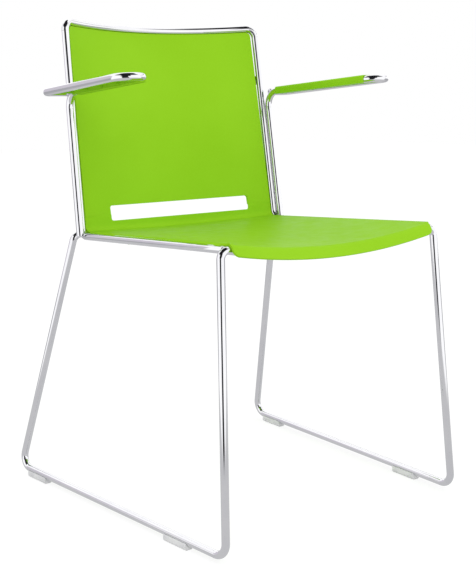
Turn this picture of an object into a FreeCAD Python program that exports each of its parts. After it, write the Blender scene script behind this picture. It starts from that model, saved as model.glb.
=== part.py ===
import FreeCAD, Part
import math
import os

os.makedirs("parts", exist_ok=True)

# Stacking armchair on a bent steel rod frame, with a plastic seat and back.
# Millimetres, Z up, the sitter faces -Y and the sitter's left is +X.
# The origin is on the floor, in the middle of the chair's footprint.

# How far cutting solids reach past what they cut
cut_far = 60.0

# Rods and their bends
rod_d = 12.0
foot_bend_r = 20.0
leg_top_bend_r = 12.5
seat_bend_r = 16.0
top_corner_r = 16.0
weld_gap = 0.1

# Sled sides, measured to where the straight centre lines would meet
foot_span = 538.5
front_splay = 21.5
rear_splay = 29.0
sole_below_rod = 6.5
front_leg_rake = 38.5
front_top_half = 214.5
front_top_z = 441.5
front_bow_deg = 10.2

# Side rails and the back frame
rail_length = 379.0
rail_fall = 20.5
rail_end_in = 2.0
rail_toe_in = 9.0
back_toe_in = 7.5
back_lean = 52.0
back_rise = 344.0
top_bow_deg = 27.0
rear_top_out = 8.2
rear_cross_deg = 31.0
rail_weld_in = 4.0

# Arms
arm_joint_z = 651.0
arm_bend_r = 25.0
arm_side_deg = 45.0
arm_toe_deg = 4.1
arm_rise_deg = 5.3
arm_run = 234.0
arm_hairpin_r = 22.0
arm_corner_r = 12.0
arm_cross_ahead = 4.0

# Arm pads
pad_rear = 29.0
pad_nose = 4.0
pad_wall = 2.0
pad_crown = 1.0
pad_plate = 3.0
pad_mouth = 9.0
pad_rib = 2.0
pad_rib_depth = 8.0
pad_rib_count = 5
pad_fit = 0.15

# Seat moulding
seat_skin = 3.5
seat_steps = 8
seat_edge_steps = 2
seat_fit = 0.2
lip_turn_deg = 60.0
lip_flank = 13.0
lip_in = 14.5
seat_rear_dip = 3.0
seat_crease_r = 10.0
seat_crease_up = 7.0
seat_edge_in = 2.5
flange_top_deg = 150.0
flange_low_deg = 218.0
flange_front_gap = 14.0
flange_rear_gap = 29.0
corner_chamfer = 18.0
rod_clear = 0.3
seat_rib = 2.5
seat_rib_depth = 14.0
rib_front_gap = 15.0
rib_rear_gap = 16.0
long_rib_x = (0.0, 70.0, 140.0)
cross_rib_y = (-120.0, -30.0, 60.0)

# Back moulding and the slot between it and the seat
panel_skin = 5.0
panel_corner_r = 11.0
panel_start = 29.8
panel_low_bow = 1.5
panel_steps = 7
seam_gap = 0.3
slot_in = 58.5
slot_low = 20.6
slot_high = 45.7
slot_corner_r = 4.0

# Fixings
tab_width = 24.0
tab_reach = 30.0
tab_thick = 3.0
tab_drop = 3.0
tab_x = 110.0
tab_hole_back = 20.0
boss_r = 6.0
screw_r = 2.0
screw_head_r = 4.0
screw_head_h = 2.5
screw_rim = 0.8
screw_slot = 1.0
screw_slot_length = 4.4
screw_bite = 4.0
screw_fit = 0.05
hole_clear = 0.4
back_tab_height = 16.0
back_tab_reach = 24.0
back_tab_thick = 2.5
back_boss_h = 2.5
back_screw_in = 17.0
back_screw_bite = 3.5
back_tab_up = (95.0, 255.0)

# Glides under the runners
glide_length = 52.0
glide_width = 15.0
glide_wrap = 11.0
glide_round = 2.5
glide_front_in = 107.0
glide_rear_in = 56.0

rod_r = rod_d / 2
runner_z = sole_below_rod + rod_r
lean = math.atan2(back_lean, back_rise)

# Half widths, each stepped from the one before it
front_foot_half = front_top_half + front_splay
rear_foot_half = front_foot_half + rear_splay
rail_front_half = front_top_half - rail_end_in
rail_rear_half = front_top_half - rail_toe_in
back_top_half = rail_rear_half - back_toe_in
rear_top_half = rail_rear_half + rear_top_out
lip_half = front_top_half - lip_in
slot_half = rail_rear_half - slot_in


def vec(x, y, z):
    return FreeCAD.Vector(x, y, z)


def unit(v):
    return v * (1.0 / v.Length)


def save(shape, name):
    shape.exportStep("parts/" + name + ".step")


def both_sides(shape, name):
    """Saves a piece of the sitter's left side and its mirror image."""
    save(shape, "left_" + name)
    save(mirrored(shape), "right_" + name)


def mirrored(shape):
    return shape.mirror(vec(0, 0, 0), vec(1, 0, 0))


def bend(before, corner, after, radius):
    """Start, middle and end of the round that joins two straight lines."""
    u = unit(before - corner)
    w = unit(after - corner)
    half = u.getAngle(w) / 2
    reach = radius / math.tan(half)
    middle = unit(u + w)
    apex = corner + middle * (radius / math.sin(half) - radius)
    return corner + u * reach, apex, corner + w * reach


def line(a, b):
    return Part.LineSegment(a, b).toShape()


def arc(a, m, b):
    return Part.Arc(a, m, b).toShape()


def rod(edges, radius):
    """A round bar along a run of lines and rounds."""
    path = Part.Wire(edges)
    first = edges[0]
    start = first.valueAt(first.FirstParameter)
    heading = first.tangentAt(first.FirstParameter)
    ring = Part.Wire(Part.makeCircle(radius, start, heading))
    return path.makePipeShell([ring], True, False)


def closed_prism(points, depth):
    return Part.Face(Part.makePolygon(points + points[:1])).extrude(depth)


# Corners of the sled on the sitter's left, before the part is centred

foot_y = -foot_span / 2
front_foot = vec(front_foot_half, foot_y, runner_z)
rear_foot = vec(rear_foot_half, foot_y + foot_span, runner_z)
front_top = vec(front_top_half, foot_y + front_leg_rake, front_top_z)
rail_y = front_top.y + rail_length
rail_z = front_top_z - rail_fall
rail_front = vec(rail_front_half, front_top.y, front_top_z)
back_foot = vec(rail_rear_half, rail_y, rail_z)
back_top = vec(back_top_half, rail_y + back_lean, rail_z + back_rise)
back_length = math.hypot(back_lean, back_rise)
up_back = vec(0, math.sin(lean), math.cos(lean))
behind = vec(0, math.cos(lean), -math.sin(lean))


def back_point(x, up, depth):
    """A point given by its height along the back and its depth behind the uprights."""
    return vec(0, rail_y, rail_z) + up_back * up + behind * depth + vec(x, 0, 0)


def upright_half(up):
    share = up / back_length
    return rail_rear_half + (back_top_half - rail_rear_half) * share


def rail_x(y):
    share = (y - front_top.y) / rail_length
    return rail_front_half + (rail_rear_half - rail_front_half) * share


# The rear leg's top passes behind the bend under the upright and touches it

seat_bend = bend(rail_front, back_foot, back_top, seat_bend_r)
to_centre = unit(seat_bend[1] - back_foot)
bend_centre = seat_bend[1] + to_centre * seat_bend_r
cross_angle = math.radians(rear_cross_deg)
cross_reach = seat_bend_r + rod_d
rear_top = vec(rear_top_half,
               bend_centre.y + cross_reach * math.cos(cross_angle),
               bend_centre.z - cross_reach * math.sin(cross_angle))

front_bow = math.radians(front_bow_deg)
front_aim = front_top - vec(math.cos(front_bow), 0, math.sin(front_bow)) * rod_d
rear_aim = rear_top - vec(rod_d, 0, 0)
front_top_bend = bend(front_foot, front_top, front_aim, leg_top_bend_r)
front_foot_bend = bend(front_top, front_foot, rear_foot, foot_bend_r)
rear_foot_bend = bend(front_foot, rear_foot, rear_top, foot_bend_r)
rear_top_bend = bend(rear_foot, rear_top, rear_aim, leg_top_bend_r)

front_bar_end = front_top_bend[2]
front_bar_r = front_bar_end.x / math.sin(front_bow)
front_bar_low = front_bar_end.z - front_bar_r * (1 - math.cos(front_bow))


def front_bar_z(x):
    """Height of the front cross rod's centre line."""
    return front_bar_low + front_bar_r - math.sqrt(front_bar_r ** 2 - x ** 2)


def front_leg():
    return rod([arc(front_top_bend[2], front_top_bend[1], front_top_bend[0]),
                line(front_top_bend[0], front_foot_bend[0]),
                arc(front_foot_bend[0], front_foot_bend[1], front_foot_bend[2])], rod_r)


def runner():
    return rod([line(front_foot_bend[2], rear_foot_bend[0])], rod_r)


def rear_leg():
    return rod([arc(rear_foot_bend[0], rear_foot_bend[1], rear_foot_bend[2]),
                line(rear_foot_bend[2], rear_top_bend[0]),
                arc(rear_top_bend[0], rear_top_bend[1], rear_top_bend[2])], rod_r)


def front_bar(radius):
    end = front_bar_end
    return rod([arc(vec(-end.x, end.y, end.z), vec(0, end.y, front_bar_low), end)], radius)


def rear_bar(radius):
    end = rear_top_bend[2]
    return rod([line(vec(-end.x, end.y, end.z), end)], radius)


def side_rail(radius):
    """Runs from the upright's bend to the bend at the front leg's top."""
    back = unit(seat_bend[0] - rail_front)
    return rod([line(seat_bend[0], rail_front + back * (rod_r - rail_weld_in))], radius)


def upright(radius):
    corner = top_corner()
    return rod([arc(seat_bend[0], seat_bend[1], seat_bend[2]), line(seat_bend[2], corner[0])], radius)


def top_corner():
    bow = math.radians(top_bow_deg)
    aim = back_top - vec(math.cos(bow), 0, 0) * rod_d + behind * (math.sin(bow) * rod_d)
    return bend(back_foot, back_top, aim, top_corner_r)


def top_rail_middle():
    """Middle of the top rail and the radius of its bow."""
    bow = math.radians(top_bow_deg)
    end = top_corner()[2]
    radius = end.x / math.sin(bow)
    depth = (end - back_top).dot(behind) + radius * (1 - math.cos(bow))
    return back_point(0, back_length, depth), radius, depth


def top_rail():
    corner = top_corner()
    flip = [vec(-p.x, p.y, p.z) for p in corner]
    middle = top_rail_middle()[0]
    return rod([arc(flip[0], flip[1], flip[2]),
                arc(flip[2], middle, corner[2]),
                arc(corner[2], corner[1], corner[0])], rod_r)


# Arm rods, in a frame of their own: ahead, outboard and up

def arm_offset():
    turn = math.radians(arm_side_deg)
    reach = rod_d + weld_gap
    return vec(math.cos(turn), 0, 0) * reach - behind * (math.sin(turn) * reach)


def arm_corner():
    """Where the support rod's line reaches the arm's height."""
    foot = back_foot + arm_offset()
    rise = unit(back_top - back_foot)
    return foot + rise * ((arm_joint_z - foot.z) / rise.z)


def arm_axes():
    toe = math.radians(arm_toe_deg)
    tilt = math.radians(arm_rise_deg)
    ahead = vec(math.sin(toe) * math.cos(tilt), -math.cos(toe) * math.cos(tilt), math.sin(tilt))
    outboard = vec(math.cos(toe), math.sin(toe), 0)
    return ahead, outboard, ahead.cross(outboard)


def arm_point(forward, out, high=0.0):
    ahead, outboard, up = arm_axes()
    return arm_corner() + ahead * forward + outboard * out + up * high


def support_bend():
    return bend(back_foot + arm_offset(), arm_corner(), arm_point(arm_run, 0), arm_bend_r)


def arm_support():
    """Stands on the side rail beside the upright and turns forward into the arm."""
    joint = support_bend()
    foot = back_foot + arm_offset()
    shape = rod([line(foot, joint[0]), arc(joint[0], joint[1], joint[2])], rod_r)
    return shape.cut(side_rail(rod_r)).cut(upright(rod_r))


def arm_loop_path():
    wide = 2 * arm_hairpin_r
    tip = arm_run + arm_hairpin_r
    round_in = arm_corner_r * math.sin(math.radians(45))
    rear = arm_cross_ahead
    return [line(support_bend()[2], arm_point(arm_run, 0)),
            arc(arm_point(arm_run, 0), arm_point(tip, arm_hairpin_r), arm_point(arm_run, wide)),
            line(arm_point(arm_run, wide), arm_point(rear + arm_corner_r, wide)),
            arc(arm_point(rear + arm_corner_r, wide),
                arm_point(rear + arm_corner_r - round_in, wide - arm_corner_r + round_in),
                arm_point(rear, wide - arm_corner_r)),
            line(arm_point(rear, wide - arm_corner_r), arm_point(rear, 0))]


def arm_loop():
    return rod(arm_loop_path(), rod_r).cut(arm_support())


def arm_pad():
    """Clips over the inner run and fills the loop up to the outer run."""
    ahead, outboard, up = arm_axes()
    side = rod_r + pad_wall
    edge = 2 * arm_hairpin_r - rod_r
    plate_low = rod_r + pad_crown - pad_plate
    block = closed_prism(pad_section(pad_rear), ahead * (arm_run - pad_rear))
    disc = Part.makeCylinder(arm_hairpin_r + side, cut_far, arm_point(arm_run, arm_hairpin_r, -cut_far / 2), up)
    block = block.fuse(closed_prism(pad_section(arm_run), ahead * pad_nose).common(disc))
    for number in range(pad_rib_count):
        block = block.fuse(pad_cross_rib(number, side, edge, plate_low))
    loop = rod(arm_loop_path(), rod_r + pad_fit)
    half = pad_mouth / 2
    low = -rod_r - pad_wall
    mouth = closed_prism([arm_point(pad_rear, -half, low),
                          arm_point(pad_rear, -half),
                          arm_point(pad_rear, half),
                          arm_point(pad_rear, half, low)], ahead * (arm_run + pad_nose - pad_rear))
    return block.cut(loop).cut(mouth).removeSplitter()


def pad_section(place):
    """Outline of the pad's section: a clip round the inner run and a plate across the loop."""
    side = rod_r + pad_wall
    top = rod_r + pad_crown
    low = -rod_r
    plate_low = top - pad_plate
    edge = 2 * arm_hairpin_r - rod_r
    return [arm_point(place, -side, low),
            arm_point(place, -side, top - pad_wall),
            arm_point(place, -side + pad_wall, top),
            arm_point(place, edge, top),
            arm_point(place, edge, plate_low),
            arm_point(place, side, plate_low),
            arm_point(place, side, low)]


def pad_cross_rib(number, side, edge, plate_low):
    run = arm_run - pad_rear - pad_rib
    ahead = pad_rear + run * number / (pad_rib_count - 1)
    low = plate_low - pad_rib_depth
    rib = [arm_point(ahead, side - pad_rib, low),
           arm_point(ahead, side - pad_rib, plate_low + pad_rib),
           arm_point(ahead, edge, plate_low + pad_rib),
           arm_point(ahead, edge, low)]
    return closed_prism(rib, arm_axes()[0] * pad_rib)


# Seat moulding

seat_top_r = rod_r + seat_fit + seat_skin
seat_under_r = rod_r + seat_fit


def seat_rear_z(x):
    """Height of the crease where the seat turns up into the back."""
    share = 1 - (x / rail_front_half) ** 2
    return rail_z + seat_crease_up * math.cos(lean) - seat_rear_dip * share


def seat_edge_fall(x):
    """How far the surface rolls down towards the rails, round the bends of the front rod."""
    radius = leg_top_bend_r + seat_top_r
    past = max(abs(x) - front_bar_end.x, 0)
    return radius - math.sqrt(radius ** 2 - past ** 2)


def fan(point):
    """Draws a point of a section inwards towards the rear, as the rails toe in."""
    return vec(point.x * rail_x(point.y) / rail_front_half, point.y, point.z)


def seat_line(x):
    """The seat surface's line at one place across: front rod centre, heading and crease."""
    centre_z = front_bar_z(x) - seat_edge_fall(x)
    crease_z = seat_rear_z(x) - seat_edge_fall(x)
    up = (crease_z - rail_z) / math.cos(lean)
    crease = back_point(x, up, -seat_skin / 2)
    dy = crease.y - front_top.y
    dz = crease.z - centre_z
    angle = math.atan2(dz, dy) - math.asin(seat_top_r / math.hypot(dy, dz))
    return vec(x, front_top.y, centre_z), angle, crease


def spoke(angle):
    """Direction at right angles to a seat line that climbs by the angle."""
    return vec(0, -math.sin(angle), math.cos(angle))


def seat_profile(x, wall_up):
    """Outline of the moulding's section at one place across the seat."""
    hub, angle, crease = seat_line(x)
    turn = math.radians(lip_turn_deg)
    down = vec(0, -math.cos(angle + turn), -math.sin(angle + turn)) * lip_flank
    out = [spoke(angle), spoke(angle + turn / 2), spoke(angle + turn)]
    upper = [hub + s * seat_top_r for s in out]
    under = [hub + s * seat_under_r for s in out]
    wall = back_point(x, wall_up, -seat_skin / 2)
    inner = bend(upper[0], crease, wall, seat_crease_r)
    middle = inner[0] + spoke(angle) * seat_crease_r
    grow = (seat_crease_r + seat_skin) / seat_crease_r
    outer = [middle + (p - middle) * grow for p in inner]
    wall_back = wall + behind * seat_skin
    tip = [fan(upper[2] + down), fan(under[2] + down)]
    upper = [fan(p) for p in upper]
    under = [fan(p) for p in under]
    inner = [fan(p) for p in inner]
    outer = [fan(p) for p in outer]
    wall = fan(wall)
    wall_back = fan(wall_back)
    return Part.Wire([line(tip[0], upper[2]),
                      arc(upper[2], upper[1], upper[0]),
                      line(upper[0], inner[0]),
                      arc(inner[0], inner[1], inner[2]),
                      line(inner[2], wall),
                      line(wall, wall_back),
                      line(wall_back, outer[2]),
                      arc(outer[2], outer[1], outer[0]),
                      line(outer[0], under[0]),
                      arc(under[0], under[1], under[2]),
                      line(under[2], tip[1]),
                      line(tip[1], tip[0])])


def seat_stations():
    """Places across the seat, closer together where its edges roll down."""
    step = (front_top_half - front_bar_end.x) / seat_edge_steps
    flat = front_bar_end.x - step
    middle = [flat * (2 * i / seat_steps - 1) for i in range(seat_steps + 1)]
    side = [flat + step * (i + 1) for i in range(seat_edge_steps + 1)]
    return [-x for x in reversed(side)] + middle + side


def seat_skin_shape():
    wires = [seat_profile(x, panel_start - seam_gap) for x in seat_stations()]
    return Part.makeLoft(wires, True, False)


def seat_plan():
    """What the seat covers, seen from above: up to the rails and inside the uprights."""
    front = front_top.y + flange_front_gap
    rear = rail_y - flange_rear_gap
    inside = rail_rear_half - rod_r - rod_clear
    far = cut_far
    half = [(lip_half, front_top.y - far),
            (lip_half, front_top.y + rod_r),
            (rail_x(front) - seat_edge_in, front),
            (rail_x(rear) - seat_edge_in, rear),
            (inside, rear + corner_chamfer),
            (inside, rail_y + far)]
    low = rail_z - far
    left = [vec(x, y, low) for x, y in half]
    right = [vec(-x, y, low) for x, y in reversed(half)]
    return closed_prism(left + right, vec(0, 0, front_top_z - low + far))


def rail_flange():
    """Strip under the seat's edge that lies against the inside of the side rail."""
    front = front_top.y + flange_front_gap
    rear = rail_y - flange_rear_gap
    fall = rail_fall / rail_length
    start = vec(rail_x(front), front, front_top_z - (front - front_top.y) * fall)
    end = vec(rail_x(rear), rear, front_top_z - (rear - front_top.y) * fall)

    def at(radius, degrees):
        turn = math.radians(degrees)
        return start + vec(math.cos(turn), 0, math.sin(turn)) * radius
    first = flange_top_deg
    last = flange_low_deg
    half = (first + last) / 2
    edges = [arc(at(seat_top_r, first), at(seat_top_r, half), at(seat_top_r, last)),
             line(at(seat_top_r, last), at(seat_under_r, last)),
             arc(at(seat_under_r, last), at(seat_under_r, half), at(seat_under_r, first)),
             line(at(seat_under_r, first), at(seat_top_r, first))]
    return Part.Face(Part.Wire(edges)).extrude(end - start)


def rib_zone():
    """Layer under the seat surface in which the ribs stand."""
    wires = []
    for x in seat_stations():
        hub, angle, crease = seat_line(x)
        along = vec(0, math.cos(angle), math.sin(angle))
        start = hub + spoke(angle) * seat_top_r + along * rib_front_gap
        end = start + along * (rail_length - rib_front_gap - rib_rear_gap)
        skin = spoke(angle) * (-seat_skin / 2)
        foot = spoke(angle) * -seat_rib_depth
        corners = [fan(p) for p in (start + skin, end + skin, end + foot, start + foot)]
        wires.append(Part.makePolygon(corners + corners[:1]))
    return Part.makeLoft(wires, True, False)


def seat_ribs():
    half_rib = seat_rib / 2
    low = rail_z - cut_far
    tall = cut_far * 2
    front = front_top.y
    bars = []
    for x in long_rib_x:
        for side in sorted({x, -x}):
            bars.append(Part.makeBox(seat_rib, rail_length, tall, vec(side - half_rib, front, low)))
    middle = front + rail_length / 2
    for y in cross_rib_y:
        wide = rail_x(middle + y) - rod_r
        bars.append(Part.makeBox(wide * 2, seat_rib, tall, vec(-wide, middle + y - half_rib, low)))
    return bars[0].multiFuse(bars[1:]).common(rib_zone())


def slot_cut(low, high, corner):
    """Rounded opening across the back, given by its heights along the back."""
    half = slot_half
    bow = corner * (1 - math.sin(math.radians(45)))

    def at(x, up):
        return back_point(x, up, -cut_far)
    edges = [line(at(-half + corner, low), at(half - corner, low)),
             arc(at(half - corner, low), at(half - bow, low + bow), at(half, low + corner)),
             line(at(half, low + corner), at(half, high - corner)),
             arc(at(half, high - corner), at(half - bow, high - bow), at(half - corner, high)),
             line(at(half - corner, high), at(-half + corner, high)),
             arc(at(-half + corner, high), at(-half + bow, high - bow), at(-half, high - corner)),
             line(at(-half, high - corner), at(-half, low + corner)),
             arc(at(-half, low + corner), at(-half + bow, low + bow), at(-half + corner, low))]
    return Part.Face(Part.Wire(edges)).extrude(behind * (cut_far * 2))


def seat_tab_places():
    """Rod centre and pointing direction of each tab under the seat."""
    places = []
    for x in (-tab_x, tab_x):
        places.append((vec(x, front_top.y, front_bar_z(x)), 1.0))
        places.append((vec(x, rear_top.y, rear_top.z), -1.0))
    return places


def tab_block(centre, way, grow, drop, height):
    """Flat block from a cross rod's centre line towards the seat's middle."""
    half = tab_width / 2 + grow
    near = -way * grow
    far = way * (tab_reach + grow)
    return closed_prism([centre + vec(-half, near, -drop), centre + vec(half, near, -drop),
                         centre + vec(half, far, -drop), centre + vec(-half, far, -drop)],
                        vec(0, 0, height))


def seat_tab(centre, way):
    plate = tab_block(centre, way, 0, tab_drop + tab_thick, tab_thick)
    hole = Part.makeCylinder(screw_r + hole_clear, tab_thick, tab_screw_foot(centre, way))
    return plate.cut(hole)


def tab_screw_foot(centre, way):
    return centre + vec(0, way * tab_hole_back, -tab_drop - tab_thick)


def seat_tabs():
    rods = front_bar(rod_r).fuse(rear_bar(rod_r))
    return Part.makeCompound([seat_tab(c, w).cut(rods) for c, w in seat_tab_places()])


def seat_boss(centre, way):
    foot = tab_screw_foot(centre, way) + vec(0, 0, tab_thick + weld_gap)
    return Part.makeCylinder(boss_r, seat_boss_height(centre, way), foot)


def seat_boss_height(centre, way):
    hub, angle, crease = seat_line(centre.x)
    place = tab_screw_foot(centre, way)
    skin_top = hub.z + seat_top_r / math.cos(angle) + (place.y - hub.y) * math.tan(angle)
    return skin_top - seat_skin / 2 - (place.z + tab_thick + weld_gap)


def seat_pilot(centre, way):
    return Part.makeCylinder(screw_r + screw_fit, tab_thick + screw_bite + screw_fit, tab_screw_foot(centre, way))


def screw(seat_point, direction, thickness, bite):
    """Pan head screw whose head rests at the point and whose shank goes along the direction."""
    top = seat_point - direction * screw_head_h
    shank = Part.makeCylinder(screw_r, thickness + bite, seat_point, direction)
    crown = Part.makeCone(screw_head_r - screw_rim, screw_head_r, screw_rim, top, direction)
    body = Part.makeCylinder(screw_head_r, screw_head_h - screw_rim, top + direction * screw_rim, direction)
    wide = screw_slot / 2
    long = screw_slot_length / 2
    slot = Part.makeBox(screw_slot_length, screw_slot, screw_rim, vec(-long, -wide, 0))
    cross = slot.fuse(Part.makeBox(screw_slot, screw_slot_length, screw_rim, vec(-wide, -long, 0)))
    cross.Placement = FreeCAD.Placement(top, FreeCAD.Rotation(vec(0, 0, 1), direction))
    return crown.fuse(body).fuse(shank).cut(cross)


def seat_screws():
    up = vec(0, 0, 1)
    return Part.makeCompound([screw(tab_screw_foot(c, w), up, tab_thick, screw_bite)
                              for c, w in seat_tab_places()])


def seat():
    shape = seat_skin_shape().common(seat_plan())
    shape = shape.cut(slot_cut(slot_low, slot_high, slot_corner_r))
    flange = rail_flange()
    pieces = [flange, mirrored(flange), seat_ribs()]
    pieces += [seat_boss(c, w) for c, w in seat_tab_places()]
    shape = shape.multiFuse(pieces)
    for c, w in seat_tab_places():
        shape = shape.cut(seat_pilot(c, w))
    tools = [front_bar(rod_r + seat_fit), rear_bar(rod_r + rod_clear)]
    for piece in (side_rail(rod_r + seat_fit), front_leg_top(), upright(rod_r + rod_clear), support_foot()):
        tools += [piece, mirrored(piece)]
    tools += [tab_space(c, w) for c, w in seat_tab_places()]
    for tool in tools:
        shape = shape.cut(tool)
    return shape.removeSplitter()


def tab_space(centre, way):
    """Room under and around a tab, so that ribs and lip pass clear of it."""
    return tab_block(centre, way, rod_clear, cut_far, cut_far - tab_drop + weld_gap)


def front_leg_top():
    return rod([arc(front_top_bend[2], front_top_bend[1], front_top_bend[0]),
                line(front_top_bend[0], front_foot)], rod_r + rod_clear)


def support_foot():
    foot = back_foot + arm_offset()
    return rod([line(foot, support_bend()[0])], rod_r + rod_clear)


# Back moulding

panel_low = panel_start - rod_r


def strip_section(up):
    """Section of the back at one height: a bowed strip with round edges."""
    depth, radius = panel_arc(up)
    half = upright_half(up) - rod_r - rod_clear
    skin = panel_skin / 2
    turn = math.asin(half / radius)
    side = turn - skin / radius

    def at(angle, offset):
        reach = radius + offset
        return back_point(reach * math.sin(angle), up, depth - radius + reach * math.cos(angle))
    return Part.Wire([arc(at(-side, -skin), at(0, -skin), at(side, -skin)),
                      arc(at(side, -skin), at(turn, 0), at(side, skin)),
                      arc(at(side, skin), at(0, skin), at(-side, skin)),
                      arc(at(-side, skin), at(-turn, 0), at(-side, -skin))])


def panel_arc(up):
    """Depth and radius of the back's bow at one height, growing up to the top rail's own."""
    full = top_rail_middle()[2]
    share = (up - panel_low) / (back_length - panel_low)
    depth = panel_low_bow + (full - panel_low_bow) * share
    half = upright_half(up)
    return depth, (half ** 2 + depth ** 2) / (2 * depth)


def panel_outline():
    """Outline of the back seen from the front, with the slot's upper half cut out."""
    top = back_length - rod_r - rod_clear
    low = panel_start
    corner = panel_corner_r

    def at(x, up):
        return back_point(x, up, -cut_far)
    wide = cut_far
    half_top = upright_half(top) - rod_r - rod_clear
    slope = (upright_half(low) - upright_half(top)) / (top - low)
    bow = corner * (1 - math.sin(math.radians(45)))
    turn_low = top - corner
    half_turn = half_top + slope * corner
    edges = [line(at(-half_turn - wide, low), at(half_turn + wide, low)),
             line(at(half_turn + wide, low), at(half_turn + wide, turn_low)),
             line(at(half_turn + wide, turn_low), at(half_turn, turn_low)),
             arc(at(half_turn, turn_low), at(half_turn - bow, top - bow), at(half_top - corner, top)),
             line(at(half_top - corner, top), at(-half_top + corner, top)),
             arc(at(-half_top + corner, top), at(-half_turn + bow, top - bow), at(-half_turn, turn_low)),
             line(at(-half_turn, turn_low), at(-half_turn - wide, turn_low)),
             line(at(-half_turn - wide, turn_low), at(-half_turn - wide, low))]
    return Part.Face(Part.Wire(edges)).extrude(behind * (cut_far * 2))


def panel_skin_shape():
    rise = back_length - panel_low
    heights = [panel_low + rise * i / panel_steps for i in range(panel_steps + 1)]
    return Part.makeLoft([strip_section(up) for up in heights], True, False)


def tab_axes(up):
    """Inward, upward and rearward directions of a back tab on the sitter's left."""
    depth, radius = panel_arc(up)
    half = upright_half(up)
    turn = math.asin((half - back_screw_in) / radius)
    inward = vec(-math.cos(turn), 0, 0) + behind * math.sin(turn)
    rear = vec(math.sin(turn), 0, 0) + behind * math.cos(turn)
    middle = depth - radius + radius * math.cos(turn)
    place = back_point(half - back_screw_in, up, middle)
    return place, inward, rear


def back_tab(up):
    place, inward, rear = tab_axes(up)
    front = panel_skin / 2 + back_boss_h
    outer = place - inward * back_screw_in + rear * front - up_back * (back_tab_height / 2)
    plate = closed_prism([outer, outer + inward * back_tab_reach,
                          outer + inward * back_tab_reach + up_back * back_tab_height,
                          outer + up_back * back_tab_height], rear * back_tab_thick)
    hole = Part.makeCylinder(screw_r + hole_clear, back_tab_thick, place + rear * front, rear)
    return plate.cut(hole)


def back_tabs():
    bar = upright(rod_r)
    plates = [back_tab(up).cut(bar) for up in back_tab_up]
    return Part.makeCompound(plates + [mirrored(p) for p in plates])


def back_boss(up):
    place, inward, rear = tab_axes(up)
    return Part.makeCylinder(boss_r, panel_skin / 2 + back_boss_h - weld_gap, place, rear)


def back_pilot(up):
    place, inward, rear = tab_axes(up)
    front = panel_skin / 2 + back_boss_h - back_screw_bite - screw_fit
    return Part.makeCylinder(screw_r + screw_fit, back_screw_bite * 2, place + rear * front, rear)


def back_screws():
    screws = []
    for up in back_tab_up:
        place, inward, rear = tab_axes(up)
        seat_point = place + rear * (panel_skin / 2 + back_boss_h + back_tab_thick)
        screws.append(screw(seat_point, rear * -1.0, back_tab_thick, back_screw_bite))
    return Part.makeCompound(screws + [mirrored(s) for s in screws])


def back_panel():
    shape = panel_skin_shape().common(panel_outline())
    shape = shape.cut(slot_cut(slot_low, slot_high, slot_corner_r))
    for up in back_tab_up:
        boss = back_boss(up)
        shape = shape.multiFuse([boss, mirrored(boss)])
        pilot = back_pilot(up)
        shape = shape.cut(pilot).cut(mirrored(pilot))
    return shape.removeSplitter()


# Glides

def glide(ahead):
    """Saddle clipped on the runner, its flat sole on the floor."""
    way = unit(rear_foot - front_foot)
    across = way.cross(vec(0, 0, 1))
    middle = front_foot + way * ahead
    start = middle - way * (glide_length / 2) - vec(0, 0, runner_z)
    half = glide_width / 2

    def at(side, high):
        return start + across * side + vec(0, 0, high)
    block = closed_prism([at(-half + glide_round, 0), at(half - glide_round, 0), at(half, glide_round),
                          at(half, glide_wrap), at(-half, glide_wrap), at(-half, glide_round)],
                         way * glide_length)
    groove = rod([line(front_foot_bend[2], rear_foot_bend[0])], rod_r + screw_fit)
    return block.cut(groove)


# Everything is moved so that the footprint's middle is the origin

sled = [front_leg(), rear_leg()]
box = Part.makeCompound(sled).optimalBoundingBox(False, False)
centre = vec(0, -(box.YMin + box.YMax) / 2, 0)


def placed(shape):
    shape.translate(centre)
    return shape


both_sides(placed(front_leg()), "front_leg")
both_sides(placed(runner()), "runner")
both_sides(placed(rear_leg()), "rear_leg")
save(placed(front_bar(rod_r)), "front_cross_rod")
save(placed(rear_bar(rod_r)), "rear_cross_rod")
both_sides(placed(side_rail(rod_r).cut(front_leg()).cut(front_bar(rod_r))), "side_rail")
both_sides(placed(upright(rod_r)), "upright")
save(placed(top_rail()), "top_rail")
both_sides(placed(arm_support()), "arm_support")
both_sides(placed(arm_loop()), "arm_loop")
both_sides(placed(arm_pad()), "arm_pad")
save(placed(seat()), "seat")
save(placed(back_panel()), "back_panel")
save(placed(seat_tabs()), "seat_tabs")
save(placed(seat_screws()), "seat_screws")
save(placed(back_tabs()), "back_tabs")
save(placed(back_screws()), "back_screws")
both_sides(placed(glide(glide_front_in)), "front_glide")
both_sides(placed(glide(foot_span - glide_rear_in)), "rear_glide")
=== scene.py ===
import math

import bmesh
import bpy
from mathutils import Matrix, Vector


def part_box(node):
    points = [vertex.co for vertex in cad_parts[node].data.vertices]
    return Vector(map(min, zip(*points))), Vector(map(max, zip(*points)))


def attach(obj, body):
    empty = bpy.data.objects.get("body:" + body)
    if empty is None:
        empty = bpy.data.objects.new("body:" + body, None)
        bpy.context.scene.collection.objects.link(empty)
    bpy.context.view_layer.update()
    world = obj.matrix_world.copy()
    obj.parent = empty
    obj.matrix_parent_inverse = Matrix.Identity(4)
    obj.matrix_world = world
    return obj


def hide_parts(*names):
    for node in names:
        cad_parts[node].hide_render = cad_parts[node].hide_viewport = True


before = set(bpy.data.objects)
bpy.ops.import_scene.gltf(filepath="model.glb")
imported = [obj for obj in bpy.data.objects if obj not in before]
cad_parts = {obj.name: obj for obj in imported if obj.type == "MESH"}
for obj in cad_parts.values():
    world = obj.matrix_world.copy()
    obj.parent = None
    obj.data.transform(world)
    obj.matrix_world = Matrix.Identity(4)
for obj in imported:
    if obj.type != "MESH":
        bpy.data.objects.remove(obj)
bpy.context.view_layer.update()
print("frame loaded:", len(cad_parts), "nodes")


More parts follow.
